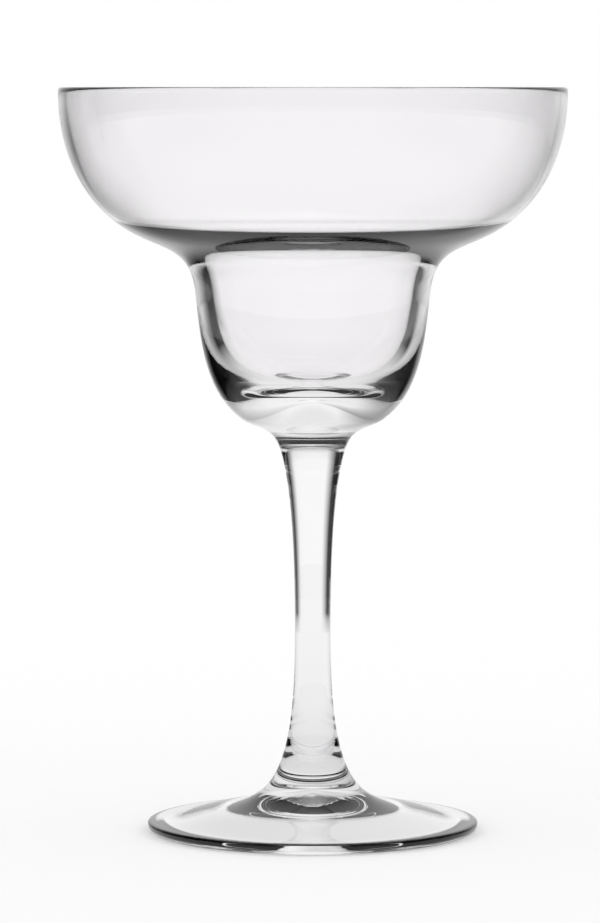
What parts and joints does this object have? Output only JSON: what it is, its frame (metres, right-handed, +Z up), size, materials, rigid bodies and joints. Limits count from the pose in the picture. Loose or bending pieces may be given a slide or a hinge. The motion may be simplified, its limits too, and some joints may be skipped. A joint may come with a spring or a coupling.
{
  "type": "margarita glass",
  "caption": "Clear stemmed cocktail glass with a wide upper bowl stepping into a small lower bowl, on a solid tapered stem and a round foot.",
  "frame": {"origin": "centre of the foot, on the table plane", "axes": "+Z up along the axis of the glass, which is round, so +X and +Y are any two level directions"},
  "size_m": [0.116, 0.116, 0.1705],
  "materials": {
    "clear_glass": "clear, fire-polished, smooth"
  },
  "bodies": {
    "root": {"glass": "clear_glass"}
  },
  "joints": []
}
